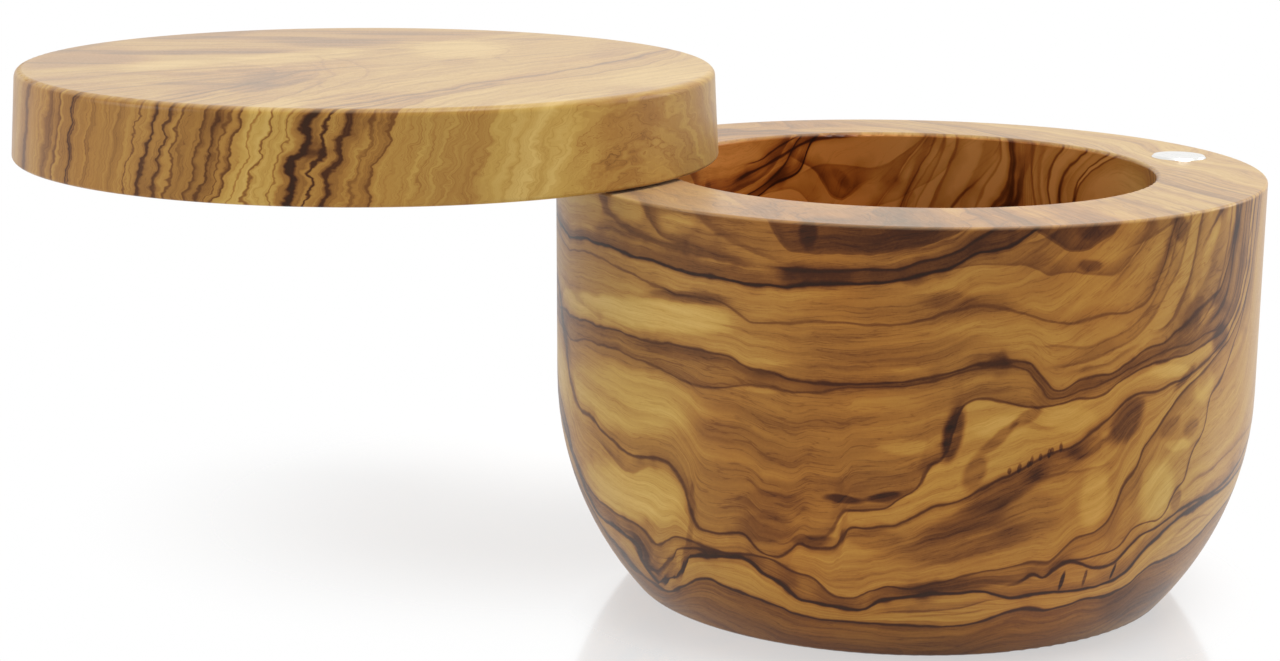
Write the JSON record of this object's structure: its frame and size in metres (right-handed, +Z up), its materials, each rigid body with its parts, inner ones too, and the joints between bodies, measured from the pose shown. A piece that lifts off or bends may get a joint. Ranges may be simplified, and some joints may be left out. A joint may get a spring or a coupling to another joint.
{
  "type": "salt box with swivel lid",
  "caption": "Round turned wooden salt box with a thick disc lid that swivels sideways on one upright pin and is held shut by magnets in its rim.",
  "frame": {"origin": "centre of the flat foot, on the surface the box stands on", "axes": "+Z up along the bowl's turning axis; +X from the swivel pin to the rim's magnet, across the middle of the rim; the pictured side faces -Y, turned a little to -X"},
  "size_m": [0.186, 0.1418, 0.079],
  "materials": {
    "bowl_wood": "oiled olive wood, satin",
    "lid_wood": "oiled olive wood, satin",
    "pin_steel": "ground",
    "sleeve_brass": "turned",
    "washer_nylon": "matt",
    "magnet_nickel": "nickel plated"
  },
  "bodies": {
    "bowl_body": {"bowl": "bowl_wood", "pivot_sleeve": "sleeve_brass", "pivot_washer": "washer_nylon", "rim_magnet": "magnet_nickel"},
    "lid_body": {"lid": "lid_wood", "pivot_pin": "pin_steel", "lid_magnet": "magnet_nickel"}
  },
  "joints": [
    {"name": "lid_swivel", "type": "hinge", "parent": "bowl_body", "child": "lid_body", "pos_m": [-0.04575, 0, 0.065], "axis": [0, 0, 1], "continuous": true}
  ]
}
